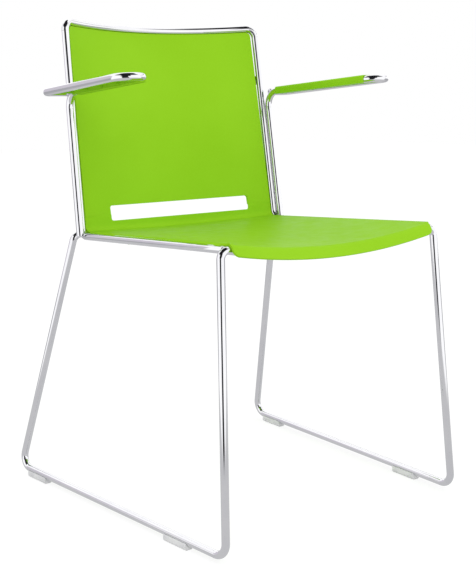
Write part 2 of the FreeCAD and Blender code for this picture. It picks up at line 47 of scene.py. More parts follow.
# a socket that can be added and multiplied, in shaders and in geometry nodes alike

class Plug:
    def __init__(self, tree, socket=None):
        self.tree = tree
        self.socket = socket

    def node(self, kind, settings=None, sockets=None, out=0):
        made = self.tree.nodes.new(kind)
        for key, value in (settings or {}).items():
            setattr(made, key, value)
        for key, value in (sockets or {}).items():
            if isinstance(value, Plug):
                self.tree.links.new(value.socket, made.inputs[key])
            else:
                made.inputs[key].default_value = value
        return Plug(self.tree, made.outputs[out] if len(made.outputs) else None)

    def into(self, kind):  # ends a tree in its output node, which has no socket to give back
        self.node(kind, None, {0: self})

    def maths(self, operation, first, second=0.0):
        return self.node("ShaderNodeMath", {"operation": operation}, {0: first, 1: second})

    def __add__(self, other):
        return self.maths("ADD", self, other)

    def __sub__(self, other):
        return self.maths("SUBTRACT", self, other)

    def __rsub__(self, other):
        return self.maths("SUBTRACT", other, self)

    def __mul__(self, other):
        return self.maths("MULTIPLY", self, other)

    def __truediv__(self, other):
        return self.maths("DIVIDE", self, other)

    def __rtruediv__(self, other):
        return self.maths("DIVIDE", other, self)

    __radd__ = __add__
    __rmul__ = __mul__

    def most(self, other):
        return self.maths("MAXIMUM", self, other)

    def absolute(self):
        return self.maths("ABSOLUTE", self)

    def clamped(self, low, high):  # 0 up to the first value, 1 from the second on, smooth between
        return self.node("ShaderNodeMapRange", {"interpolation_type": "SMOOTHSTEP"},
                         {0: self, 1: low, 2: high})

    def within(self, low, high, soft):  # 1 between the two values, 0 outside, with soft ends
        return self.clamped(low - soft, low + soft) * (1.0 - self.clamped(high - soft, high + soft))

    def blend(self, first, second):  # this plug is the factor between two colours
        return self.node("ShaderNodeMix", {"data_type": "RGBA"}, {0: self, 6: first, 7: second}, 2)


def linear(red, green, blue):  # a colour as a picture editor names it, 0 to 255
    return tuple((c / 255 / 12.92) if c < 10.3 else ((c / 255 + 0.055) / 1.055) ** 2.4
                 for c in (red, green, blue)) + (1.0,)


# materials

def emptied(owner):  # the tree of a material or the world, with nothing in it
    owner.use_nodes = True
    owner.node_tree.nodes.clear()
    return Plug(owner.node_tree)


def newMaterial(name):
    mat = bpy.data.materials.new(name)
    start = emptied(mat)
    return mat, start, start.node("ShaderNodeTexCoord", out="Object")


def noiseAt(start, place, noise):  # a noise with a spread is stretched from 0 to 1
    sockets = {key: noise[key] for key in ("Scale", "Detail", "Roughness")}
    made = start.node("ShaderNodeTexNoise", {"noise_dimensions": "3D"}, dict(sockets, Vector=place))
    return made.clamped(*noise["spread"]) if "spread" in noise else made


def finishMaterial(look, colour, dullness, height):
    smoothest, roughest = look["rough"]
    strength, distance = look["bump"]
    bump = height.node("ShaderNodeBump", None, {"Strength": strength, "Distance": distance, "Height": height})
    rough = dullness * (roughest - smoothest) + smoothest
    sockets = dict(look["surface"], **{"Base Color": colour, "Roughness": rough, "Normal": bump})
    height.node("ShaderNodeBsdfPrincipled", None, sockets).into("ShaderNodeOutputMaterial")


chromeLook = {
    "surface": {"Metallic": 1.0, "IOR": 2.2},
    "bright": linear(228, 228, 230),
    "hazy": linear(219, 219, 223),
    "haze": {"Scale": 9.0, "Detail": 4.0, "Roughness": 0.6, "spread": (0.35, 0.7)},
    "polish": {"Scale": 55.0, "Detail": 5.0, "Roughness": 0.65, "spread": (0.3, 0.75)},
    "hazeInColour": 0.6,
    "hazeInRough": 0.4,
    "rough": (0.02, 0.055),
    "ripple": {"Scale": 260.0, "Detail": 2.0, "Roughness": 0.5},
    "bump": (0.02, 0.0004),
}


def chromeMaterial(name, look):
    mat, start, place = newMaterial(name)
    haze, polish = noiseAt(start, place, look["haze"]), noiseAt(start, place, look["polish"])
    tint = haze * look["hazeInColour"] + polish * (1 - look["hazeInColour"])
    dullness = haze * look["hazeInRough"] + polish * (1 - look["hazeInRough"])
    ripple = noiseAt(start, place, look["ripple"])
    finishMaterial(look, tint.blend(look["bright"], look["hazy"]), dullness, ripple)
    return mat


plasticLook = {
    "surface": {"IOR": 1.49, "Specular IOR Level": 0.025},
    "green": linear(151, 209, 38),
    "deep": linear(145, 203, 32),
    "pale": linear(159, 215, 50),
    "cloud": {"Scale": 5.0, "Detail": 3.0, "Roughness": 0.5, "spread": (0.3, 0.7)},
    "fleck": {"Scale": 450.0, "Detail": 2.0, "Roughness": 0.6, "spread": (0.35, 0.7)},
    "fleckInColour": 0.22,
    "scuff": {"Scale": 42.0, "Detail": 5.0, "Roughness": 0.7, "spread": (0.35, 0.72)},
    "rough": (0.42, 0.55),
    "grainScale": 1500.0,
    "skin": {"Scale": 825.0, "Detail": 2.0, "Roughness": 0.6},
    "grainInBump": 0.6,
    "bump": (0.16, 0.0002),
}


def plasticMaterial(name, look):
    mat, start, place = newMaterial(name)
    body = noiseAt(start, place, look["cloud"]).blend(look["deep"], look["green"])
    fleck = noiseAt(start, place, look["fleck"]) * look["fleckInColour"]
    scuff, skin = noiseAt(start, place, look["scuff"]), noiseAt(start, place, look["skin"])
    grain = start.node("ShaderNodeTexVoronoi", {"feature": "F1"},
                       {"Vector": place, "Scale": look["grainScale"]})
    height = grain * look["grainInBump"] + skin * (1 - look["grainInBump"])
    finishMaterial(look, fleck.blend(body, look["pale"]), scuff, height)
    return mat


glideLook = {
    "surface": {"IOR": 1.53, "Specular IOR Level": 0.4},
    "main": linear(232, 232, 233),
    "other": linear(218, 218, 221),
    "patch": {"Scale": 60.0, "Detail": 3.0, "Roughness": 0.55, "spread": (0.3, 0.7)},
    "wear": {"Scale": 300.0, "Detail": 4.0, "Roughness": 0.7, "spread": (0.35, 0.7)},
    "rough": (0.3, 0.46),
    "bump": (0.08, 0.0003),
}
screwLook = {
    "surface": {"Metallic": 1.0},
    "main": linear(196, 198, 200),
    "other": linear(168, 171, 176),
    "patch": {"Scale": 180.0, "Detail": 3.0, "Roughness": 0.6, "spread": (0.3, 0.7)},
    "wear": {"Scale": 900.0, "Detail": 4.0, "Roughness": 0.7, "spread": (0.3, 0.7)},
    "rough": (0.22, 0.4),
    "bump": (0.12, 0.0002),
}


def wornMaterial(name, look):  # two tints in patches, and wear that dulls and dents
    mat, start, place = newMaterial(name)
    patch, wear = noiseAt(start, place, look["patch"]), noiseAt(start, place, look["wear"])
    finishMaterial(look, patch.blend(look["main"], look["other"]), wear, wear)
    return mat


stripLook = dict(chromeLook, rough=(0.08, 0.16), ripple=dict(chromeLook["ripple"], Scale=420.0))
chrome = chromeMaterial("platedSteelRod", chromeLook)
tabChrome = chromeMaterial("platedSteelStrip", stripLook)
plastic = plasticMaterial("greenMouldedPlastic", plasticLook)
milky = wornMaterial("milkyNylon", glideLook)
zinc = wornMaterial("zincScrew", screwLook)
print("materials made")


# the chair's own lines, in metres: where the rods' straight runs would meet

def middleOf(node):
    low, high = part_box(node)
    return (low + high) / 2


barHeight = 0.4415
chair = {
    "rodRadius": 0.006,
    "frontFoot": (0.236, -0.2671, 0.0125),
    "rearFoot": (0.265, 0.2714, 0.0125),
    "frontTop": (0.2145, middleOf("front_cross_rod").y, barHeight),
    "railFront": (0.2125, middleOf("front_cross_rod").y, barHeight),
    "backFoot": (0.2055, 0.1504, 0.4210),
    "backTop": (0.198, 0.2024, 0.7650),
    "rearTop": (0.2137, middleOf("rear_cross_rod").y, middleOf("rear_cross_rod").z),
    "frontBow": math.radians(10.2),
    "topBow": math.radians(27.0),
    "footBend": 0.020,
    "legTopBend": 0.0125,
    "seatBend": 0.016,
    "topBend": 0.016,
    "stub": 0.012,  # a short step along the next rod, which only gives its direction
}
backRun = chair["backTop"][1] - chair["backFoot"][1]
backRise = chair["backTop"][2] - chair["backFoot"][2]
lean = math.atan2(backRun, backRise)
backLength = math.hypot(backRun, backRise)
upBack = Vector((0, math.sin(lean), math.cos(lean)))
behind = Vector((0, math.cos(lean), -math.sin(lean)))


def spot(name, side=1):
    x, y, z = chair[name]
    return Vector((x * side, y, z))


def backPoint(x, up, depth):
    foot = spot("backFoot")
    return Vector((x, foot.y, foot.z)) + upBack * up + behind * depth


def backHalf(up):
    return chair["backFoot"][0] + (chair["backTop"][0] - chair["backFoot"][0]) * up / backLength


def bendEnds(before, corner, after, radius):  # where a round of that radius starts and ends
    a = (before - corner).normalized()
    b = (after - corner).normalized()
    reach = radius / math.tan(a.angle(b) / 2)
    return corner + a * reach, corner + b * reach


# making and finishing pieces

sharpAngle = math.radians(38.0)


def placed(name, data):
    made = bpy.data.objects.new(name, data)
    bpy.context.scene.collection.objects.link(made)
    return made


def asObject(mesh, name, material):
    mesh.materials.clear()
    mesh.materials.append(material)
    return placed(name, mesh)


def meshFrom(work, name):
    mesh = bpy.data.meshes.new(name)
    work.to_mesh(mesh)
    work.free()
    return mesh


def barBetween(name, first, second):  # a closed bar between two rings of points
    bar = bmesh.new()
    near = [bar.verts.new(point) for point in first]
    far = [bar.verts.new(point) for point in second]
    bar.faces.new(near)
    bar.faces.new(far[::-1])
    for i in range(len(near)):
        j = (i + 1) % len(near)
        bar.faces.new((near[i], far[i], far[j], near[j]))
    bmesh.ops.recalc_face_normals(bar, faces=bar.faces)
    return meshFrom(bar, name)


def harden(seed, name):  # the shape with its modifiers applied, as a plain piece
    bpy.context.view_layer.update()
    seen = seed.evaluated_get(bpy.context.evaluated_depsgraph_get())
    mesh = bpy.data.meshes.new_from_object(seen)
    mesh.name = name
    mesh.set_sharp_from_angle(angle=sharpAngle)
    piece = placed(name, mesh)
    bpy.data.objects.remove(seed)
    return piece


def soften(piece, width, segments, angle=40.0):
    bevel = piece.modifiers.new("bevel", "BEVEL")
    bevel.width = width
    bevel.segments = segments
    bevel.limit_method = "ANGLE"
    bevel.angle_limit = math.radians(angle)
    bevel.harden_normals = False


def thicken(piece, thickness, offset):  # offset -1 adds the skin on one side, 0 on both
    shell = piece.modifiers.new("skin", "SOLIDIFY")
    shell.thickness = thickness
    shell.offset = offset
    shell.use_even_offset = True


def show(piece, finish, *nodes):
    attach(piece, "root")
    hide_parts(*nodes)


def newTree(name, sockets):  # each kind of input with its names, the geometry first
    tree = bpy.data.node_groups.new(name, "GeometryNodeTree")
    for kind, labels in sockets.items():
        for label in labels:
            tree.interface.new_socket(label, in_out="INPUT", socket_type="NodeSocket" + kind)
    tree.interface.new_socket("Shape", in_out="OUTPUT", socket_type="NodeSocketGeometry")
    start = Plug(tree)
    entry = start.node("NodeGroupInput").socket.node
    return tree, start, {socket.name: Plug(tree, socket) for socket in entry.outputs}


def finishTree(shape, finish):
    real = shape.node("GeometryNodeRealizeInstances", None, {0: shape})
    real.node("GeometryNodeSetMaterial", None, {"Geometry": real, "Material": finish}).into("NodeGroupOutput")


def applyTree(mesh, name, tree, values):  # runs a tree on a mesh and keeps the result as a plain piece
    seed = placed(name + "Seed", mesh)
    modifier = seed.modifiers.new("nodes", "NODES")
    modifier.node_group = tree
    for item in tree.interface.items_tree:
        if item.in_out == "INPUT" and item.name in values:
            modifier[item.identifier] = values[item.name]
    return harden(seed, name)


# rods: a tree rounds the corners of a line and runs a ring along it

rodTreeSizes = {"Rod Radius": chair["rodRadius"], "Ring Sides": 40}
bendSteps = {"bend": 14, "bow": 48, "bowFrom": 0.1}  # a bend of that radius or more is a long bow


def makeRodTree():
    tree, start, given = newTree("bentRod", {"Geometry": ["Line"], "Float": ["Rod Radius"],
                                             "Int": ["Ring Sides"], "Material": ["Finish"]})
    radius = start.node("GeometryNodeInputNamedAttribute", {"data_type": "FLOAT"}, {"Name": "bendRadius"})
    steps = start.node("GeometryNodeInputNamedAttribute", {"data_type": "INT"}, {"Name": "bendSteps"})
    curve = start.node("GeometryNodeMeshToCurve", None, {0: given["Line"]})
    rounded = start.node("GeometryNodeFilletCurve", {"mode": "POLY"},
                         {"Curve": curve, "Count": steps, "Radius": radius, "Limit Radius": True})
    ring = start.node("GeometryNodeCurvePrimitiveCircle", {"mode": "RADIUS"},
                      {"Resolution": given["Ring Sides"], "Radius": given["Rod Radius"]})
    tube = start.node("GeometryNodeCurveToMesh", None,
                      {"Curve": rounded, "Profile Curve": ring, "Fill Caps": True})
    finishTree(start.node("GeometryNodeSetShadeSmooth", None, {0: tube}), given["Finish"])
    return tree


rodTree = makeRodTree()


def bentRod(name, corners, node):  # corners: a place and the bend's radius there, 0 at the ends
    mesh = bpy.data.meshes.new(name + "Line")
    edges = [(i, i + 1) for i in range(len(corners) - 1)]
    mesh.from_pydata([tuple(place) for place, bend in corners], edges, [])
    radius = mesh.attributes.new("bendRadius", "FLOAT", "POINT")
    steps = mesh.attributes.new("bendSteps", "INT", "POINT")
    for i, (place, bend) in enumerate(corners):
        radius.data[i].value = bend
        steps.data[i].value = bendSteps["bend"] if bend < bendSteps["bowFrom"] else bendSteps["bow"]
    show(applyTree(mesh, name, rodTree, dict(rodTreeSizes, Finish=chrome)), "chrome_rod", node)


def sledRods(side, word):
    frontFoot, rearFoot = spot("frontFoot", side), spot("rearFoot", side)
    frontTop, rearTop = spot("frontTop", side), spot("rearTop", side)
    bow, top, foot = chair["frontBow"], chair["legTopBend"], chair["footBend"]
    towards = frontTop - Vector((side * math.cos(bow), 0, math.sin(bow))) * chair["stub"]
    inward = rearTop - Vector((side * chair["stub"], 0, 0))
    frontTopEnd = bendEnds(frontFoot, frontTop, towards, top)[1]
    frontFootEnd = bendEnds(frontTop, frontFoot, rearFoot, foot)[1]
    rearFootStart = bendEnds(frontFoot, rearFoot, rearTop, foot)[0]
    rearTopEnd = bendEnds(rearFoot, rearTop, inward, top)[1]
    bentRod(word + "FrontLeg", [(frontTopEnd, 0), (frontTop, top), (frontFoot, foot), (frontFootEnd, 0)],
            word + "_front_leg")
    bentRod(word + "Runner", [(frontFootEnd, 0), (rearFootStart, 0)], word + "_runner")
    bentRod(word + "RearLeg", [(rearFootStart, 0), (rearFoot, foot), (rearTop, top), (rearTopEnd, 0)],
            word + "_rear_leg")
    return frontTopEnd, rearTopEnd


leftFrontEnd, leftRearEnd = sledRods(1, "left")
rightFrontEnd, rightRearEnd = sledRods(-1, "right")
bowRadius = leftFrontEnd.x / math.sin(chair["frontBow"])
bowCorner = Vector((0, leftFrontEnd.y, leftFrontEnd.z - leftFrontEnd.x * math.tan(chair["frontBow"])))
bentRod("frontCrossRod", [(leftFrontEnd, 0), (bowCorner, bowRadius), (rightFrontEnd, 0)], "front_cross_rod")
bentRod("rearCrossRod", [(leftRearEnd, 0), (rightRearEnd, 0)], "rear_cross_rod")

railEnd = {"long": 0.026, "bend": 0.09, "in": 0.0050, "back": 0.0015, "down": 0.0010}


def backRods(side, word):
    foot, top, front = spot("backFoot", side), spot("backTop", side), spot("railFront", side)
    bow, stub = chair["topBow"], chair["stub"]
    towards = top - Vector((side * math.cos(bow), 0, 0)) * stub + behind * (math.sin(bow) * stub)
    footStart = bendEnds(front, foot, top, chair["seatBend"])[0]
    topBend = bendEnds(foot, top, towards, chair["topBend"])
    turnStart = front + (footStart - front).normalized() * railEnd["long"]
    inLegBend = Vector((-railEnd["in"] * side, railEnd["back"], -railEnd["down"]))
    weldEnd = front + inLegBend
    bentRod(word + "SideRail", [(footStart, 0), (turnStart, railEnd["bend"]), (weldEnd, 0)],
            word + "_side_rail")
    bentRod(word + "Upright", [(footStart, 0), (foot, chair["seatBend"]), (topBend[0], 0)], word + "_upright")
    return topBend


leftTop = backRods(1, "left")
rightTop = backRods(-1, "right")
topEndDepth = (leftTop[1] - spot("backTop")).dot(behind)
topRadius = leftTop[1].x / math.sin(chair["topBow"])
topDepth = topEndDepth + topRadius * (1 - math.cos(chair["topBow"]))
topCorner = backPoint(0, backLength, topEndDepth + leftTop[1].x * math.tan(chair["topBow"]))
bentRod("topRail", [(leftTop[0], 0), (spot("backTop", 1), chair["topBend"]), (topCorner, topRadius),
                    (spot("backTop", -1), chair["topBend"]), (rightTop[0], 0)], "top_rail")


# arms, in their own directions: ahead and outboard

arm = {
    "jointHeight": 0.651,
    "bend": 0.025,
    "side": math.radians(45.0),
    "toe": math.radians(4.1),
    "rise": math.radians(5.3),
    "run": 0.234,
    "hairpin": 0.022,
    "rearRound": 0.012,
    "crossAhead": 0.004,
    "crossEnd": 0.003,
    "gap": 0.0121,
}


def armFrame():
    turned = Vector((math.cos(arm["side"]) * arm["gap"], 0, 0))
    foot = spot("backFoot") + turned - behind * (math.sin(arm["side"]) * arm["gap"])
    rise = (spot("backTop") - spot("backFoot")).normalized()
    corner = foot + rise * ((arm["jointHeight"] - foot.z) / rise.z)
    toe, tilt = arm["toe"], arm["rise"]
    ahead = Vector((math.sin(toe) * math.cos(tilt), -math.cos(toe) * math.cos(tilt), math.sin(tilt)))
    return foot, corner, ahead, Vector((math.cos(toe), math.sin(toe), 0))


def armPoint(forward, out, side):
    foot, corner, ahead, outboard = armFrame()
    p = corner + ahead * forward + outboard * out
    return Vector((p.x * side, p.y, p.z))


def armRods(side, word):
    foot = armFrame()[0]
    foot = Vector((foot.x * side, foot.y, foot.z))
    corner = armPoint(0, 0, side)
    wide, tip = arm["hairpin"] * 2, arm["run"] + arm["hairpin"]
    joint = bendEnds(foot, corner, armPoint(arm["run"], 0, side), arm["bend"])[1]
    bentRod(word + "ArmSupport", [(foot, 0), (corner, arm["bend"]), (joint, 0)], word + "_arm_support")
    bentRod(word + "ArmLoop", [(joint, 0), (armPoint(tip, 0, side), arm["hairpin"]),
                               (armPoint(tip, wide, side), arm["hairpin"]),
                               (armPoint(arm["crossAhead"], wide, side), arm["rearRound"]),
                               (armPoint(arm["crossAhead"], arm["crossEnd"], side), 0)], word + "_arm_loop")


armRods(1, "left")
armRods(-1, "right")
print("rods bent")


# the slot that the seat's wall and the back share: a rounded bar cuts it

slot = {"half": 0.147, "low": 0.0206, "high": 0.0457, "round": 0.004, "roundSteps": 8, "depth": 0.06}


def slotCutter():
    outline = []
    r, steps = slot["round"], slot["roundSteps"]
    right, top, foot = slot["half"] - r, slot["high"] - r, slot["low"] + r
    for cx, cu, first in ((right, top, 0), (-right, top, 90), (-right, foot, 180), (right, foot, 270)):
        for k in range(steps + 1):
            turn = math.radians(first + 90 * k / steps)
            outline.append((cx + r * math.cos(turn), cu + r * math.sin(turn)))
    rings = [[backPoint(x, up, depth) for x, up in outline] for depth in (-slot["depth"], slot["depth"])]
    return placed("slotCutter", barBetween("slotCutter", *rings))


def cutSlot(piece, cutter):
    cut = piece.modifiers.new("slot", "BOOLEAN")
    cut.operation = "DIFFERENCE"
    cut.solver = "EXACT"
    cut.object = cutter


cutter = slotCutter()


# seat: one sheet from the lip, over the front rod, along the rails and up into the back

seat = {
    "skin": 0.0035,
    "fit": 0.0002,
    "lipTurn": math.radians(60.0),
    "lipFlank": 0.013,
    "lipHalf": 0.200,
    "lipCorner": 0.009,
    "shoulder": 0.0015,
    "shoulderLong": 0.0070,
    "rearDip": 0.003,
    "creaseRadius": 0.010,
    "creaseUp": 0.0070,
    "wallUp": 0.0300,
    "edgeIn": -0.0010,
    "chamfer": 0.018,
    "insideUprights": 0.1980,
    "edge": (0.0009, 3),
}
seatGrid = {  # rows in each stretch, and how the columns find their places
    "columns": 72,
    "flank": 9,
    "lip": 10,
    "shoulder": 6,
    "flat": 44,
    "chamfer": 3,
    "crease": 8,
    "wall": 6,
    "measuredAt": 0.19,
    "clearOfCrease": 0.0005,
    "settling": 5,
}
flange = {
    "frontGap": 0.014,
    "rearGap": 0.029,
    "top": math.radians(150.0),
    "low": math.radians(218.0),
    "steps": 12,
    "edge": (0.0007, 2),
}
topReach = chair["rodRadius"] + seat["fit"] + seat["skin"]
flangeFront = chair["railFront"][1] + flange["frontGap"]
flangeRear = chair["backFoot"][1] - flange["rearGap"]
shoulderStart = chair["railFront"][1] + seat["shoulder"]


def frontBarHeight(x):
    low = leftFrontEnd.z - bowRadius * (1 - math.cos(chair["frontBow"]))
    return low + bowRadius - math.sqrt(bowRadius ** 2 - x ** 2)


def railPoint(y, side=1):
    front, rear = spot("railFront", side), spot("backFoot", side)
    return front.lerp(rear, (y - front.y) / (rear.y - front.y))


def edgeFall(x):  # the surface rolls down round the bends of the front rod
    radius = chair["legTopBend"] + topReach
    past = max(abs(x) - leftFrontEnd.x, 0)
    return radius - math.sqrt(radius ** 2 - past ** 2)


def seatSection(x):
    hub = Vector((x, chair["frontTop"][1], frontBarHeight(x) - edgeFall(x)))
    dip = seat["rearDip"] * (1 - (x / chair["railFront"][0]) ** 2)
    creaseHeight = chair["backFoot"][2] + seat["creaseUp"] * math.cos(lean) - dip - edgeFall(x)
    crease = backPoint(x, (creaseHeight - chair["backFoot"][2]) / math.cos(lean), -seat["skin"] / 2)
    dy, dz = crease.y - hub.y, crease.z - hub.z
    climb = math.atan2(dz, dy) - math.asin(topReach / math.hypot(dy, dz))
    return hub, climb, crease


def spoke(angle):
    return Vector((0, -math.sin(angle), math.cos(angle)))


def sectionPoint(x, kind, share):
    hub, climb, crease = seatSection(x)
    turn = seat["lipTurn"]
    if kind == "flank":
        down = Vector((0, -math.cos(climb + turn), -math.sin(climb + turn))) * seat["lipFlank"]
        return hub + spoke(climb + turn) * topReach + down * (1 - share)
    if kind == "lip":
        return hub + spoke(climb + turn * (1 - share)) * topReach
    wallAngle = math.pi / 2 - lean
    tangent = seat["creaseRadius"] * math.tan((wallAngle - climb) / 2)
    start = hub + spoke(climb) * topReach
    flatEnd = crease - Vector((0, math.cos(climb), math.sin(climb))) * tangent
    if kind == "flat":
        return start + (flatEnd - start) * share
    if kind == "crease":
        middle = flatEnd + spoke(climb) * seat["creaseRadius"]
        return middle - spoke(climb + (wallAngle - climb) * share) * seat["creaseRadius"]
    foot = crease + upBack * tangent
    top = backPoint(x, seat["wallUp"], -seat["skin"] / 2)
    return foot + (top - foot) * share


def seatPoint(x, kind, share):  # x is the place across at the front; sections draw in towards the rear
    point = sectionPoint(x, kind, share)
    point.x *= railPoint(point.y).x / chair["railFront"][0]
    return point


def seatHalf(y, kind, share):
    if kind == "flank":  # the lip's lower corners are round
        corner = seat["lipCorner"]
        lack = max(corner - seat["lipFlank"] * share, 0)
        return seat["lipHalf"] - corner + math.sqrt(corner ** 2 - lack ** 2)
    if kind == "lip" or y < shoulderStart:
        return seat["lipHalf"]
    if y < shoulderStart + seat["shoulderLong"]:  # behind the front rod's bend it widens over the rail's end
        swell = math.sin((y - shoulderStart) / seat["shoulderLong"] * math.pi / 2)
        return seat["lipHalf"] + (railPoint(y).x - seat["edgeIn"] - seat["lipHalf"]) * swell
    if y <= flangeRear:
        return railPoint(y).x - seat["edgeIn"]
    wide = railPoint(flangeRear).x - seat["edgeIn"]
    return wide + (seat["insideUprights"] - wide) * min(1.0, (y - flangeRear) / seat["chamfer"])


def seatRows():
    count = seatGrid
    rows = [("flank", 1 - math.cos(math.pi / 2 * i / count["flank"])) for i in range(count["flank"])]
    rows += [("lip", i / count["lip"]) for i in range(count["lip"])]
    start, end = [seatPoint(count["measuredAt"], "flat", share).y for share in (0.0, 1.0)]
    stops = [start]
    stops += [shoulderStart + seat["shoulderLong"] * i / count["shoulder"]
              for i in range(count["shoulder"] + 1)]
    stops += [flangeFront + (flangeRear - flangeFront) * i / count["flat"] for i in range(count["flat"] + 1)]
    stops += [flangeRear + seat["chamfer"] * i / count["chamfer"] for i in range(1, count["chamfer"] + 1)]
    rows += [("flat", (y - start) / (end - start)) for y in stops if y < end - count["clearOfCrease"]]
    rows += [("crease", i / count["crease"]) for i in range(count["crease"] + 1)]
    return rows + [("wall", i / count["wall"]) for i in range(1, count["wall"] + 1)]


def buildSeatSheet():
    sheet = bmesh.new()
    columns = seatGrid["columns"]
    grid = []
    for kind, share in seatRows():
        line = []
        for i in range(columns + 1):
            u = math.sin((2 * i / columns - 1) * math.pi / 2)  # columns crowd towards the rolled edges
            x = u * seat["lipHalf"]
            for _ in range(seatGrid["settling"]):  # the half width depends on the place along
                y = seatPoint(x, kind, share).y
                x = u * seatHalf(y, kind, share) * chair["railFront"][0] / railPoint(y).x
            line.append(sheet.verts.new(seatPoint(x, kind, share)))
        grid.append(line)
    for a, b in zip(grid, grid[1:]):
        for i in range(columns):
            sheet.faces.new((a[i], a[i + 1], b[i + 1], b[i]))
    mesh = meshFrom(sheet, "seatSheet")
    mesh.shade_smooth()
    return mesh


def buildFlange(side):  # the strip under the seat's edge that lies against the inside of the rail
    steps = flange["steps"]
    rings = []
    for y in (flangeFront, flangeRear):
        ring = []
        for reach, order in ((topReach, range(steps + 1)), (topReach - seat["skin"], range(steps, -1, -1))):
            for k in order:
                turn = flange["top"] + (flange["low"] - flange["top"]) * k / steps
                ring.append(railPoint(y, side) + Vector((side * math.cos(turn), 0, math.sin(turn))) * reach)
        rings.append(ring)
    mesh = barBetween("flange", *rings)
    mesh.shade_smooth()
    return mesh


seatSeed = asObject(buildSeatSheet(), "seatSeed", plastic)
thicken(seatSeed, seat["skin"], -1.0)
cutSlot(seatSeed, cutter)
soften(seatSeed, *seat["edge"])
seatTop = harden(seatSeed, "seatShell")
flanges = []
for side in (1, -1):
    flangeSeed = asObject(buildFlange(side), "flangeSeed", plastic)
    soften(flangeSeed, *flange["edge"])
    flanges.append(harden(flangeSeed, "seatFlange"))
print("seat formed")


# ribs under the seat: a tree drops a wall from each line

rib = {
    "depth": 0.014,
    "thick": 0.0025,
    "along": (0.0, 0.070, -0.070, 0.140, -0.140),
    "across": (-0.120, -0.030, 0.060),
    "frontIn": 0.0155,
    "rearIn": 0.0165,
    "sideIn": 0.0075,
    "steps": 24,
    "rootShare": 0.6,  # how deep in the skin a rib's root lies
}
ribTreeSizes = {"Rib Depth": rib["depth"] - seat["skin"] / 2, "Rib Thickness": rib["thick"]}


def makeRibTree():
    tree, start, given = newTree("ribWall", {"Geometry": ["Line"], "Float": ["Rib Depth", "Rib Thickness"],
                                             "Material": ["Finish"]})
    curve = start.node("GeometryNodeMeshToCurve", None, {0: given["Line"]})
    upright = start.node("GeometryNodeSetCurveNormal", {"mode": "Z_UP"}, {"Curve": curve})
    section = start.node("GeometryNodeCurvePrimitiveQuadrilateral", {"mode": "RECTANGLE"},
                         {"Width": given["Rib Thickness"], "Height": given["Rib Depth"]})
    shift = start.node("ShaderNodeCombineXYZ", None, {"Y": given["Rib Depth"] * 0.5})
    lowered = start.node("GeometryNodeTransform", None, {"Geometry": section, "Translation": shift})
    wall = start.node("GeometryNodeCurveToMesh", None,
                      {"Curve": upright, "Profile Curve": lowered, "Fill Caps": True})
    finishTree(start.node("GeometryNodeSetShadeSmooth", None, {0: wall, "Shade Smooth": False}),
               given["Finish"])
    return tree


def underside(x, y):
    front = x * chair["railFront"][0] / railPoint(y).x
    start, end = [seatPoint(front, "flat", share).y for share in (0.0, 1.0)]
    top = seatPoint(front, "flat", (y - start) / (end - start))
    return top - Vector((0, 0, seat["skin"] * rib["rootShare"]))


def ribLines():
    steps = rib["steps"]
    frontY, rearY = chair["frontTop"][1] + rib["frontIn"], chair["backFoot"][1] - rib["rearIn"]
    places = [(x, frontY + (rearY - frontY) * i / steps) for x in rib["along"] for i in range(steps + 1)]
    for across in rib["across"]:
        y = (chair["frontTop"][1] + chair["backFoot"][1]) / 2 + across
        half = railPoint(y).x - rib["sideIn"]
        places += [(half * (2 * i / steps - 1), y) for i in range(steps + 1)]
    edges = [(i - 1, i) for i in range(len(places)) if i % (steps + 1)]
    mesh = bpy.data.meshes.new("ribLines")
    mesh.from_pydata([tuple(underside(x, y)) for x, y in places], edges, [])
    return mesh


ribs = applyTree(ribLines(), "seatRibs", makeRibTree(), dict(ribTreeSizes, Finish=plastic))
print("ribs made")


# back: a tree bows a flat sheet, more and more from the slot up to the top rail

panel = {
    "Skin": 0.005,
    "Low": 0.0298,
    "Corner": 0.008,
    "Low Bow": 0.0015,
    "Columns": 120,
    "Rows": 72,
    "Clear": 0.0016,
    "Top Clear": 0.0003,
    "Sheet Low": 0.0238,
    "Edge": (0.0016, 4),
}
backSockets = {
    "Geometry": ["Seed"],
    "Float": ["Length", "Low", "Corner", "Low Bow", "High Bow", "Low Half", "High Half", "Rod Room",
              "Sheet Low", "Top Room"],
    "Int": ["Columns", "Rows"],
    "Vector": ["Foot", "Up", "Behind"],
    "Material": ["Finish"],
}


def stepAlong(place, direction, reach):  # place + direction * reach
    even = reach.node("ShaderNodeCombineXYZ", None, {0: reach, 1: reach, 2: reach})
    return reach.node("ShaderNodeVectorMath", {"operation": "MULTIPLY_ADD"},
                      {0: direction, 1: even, 2: place})


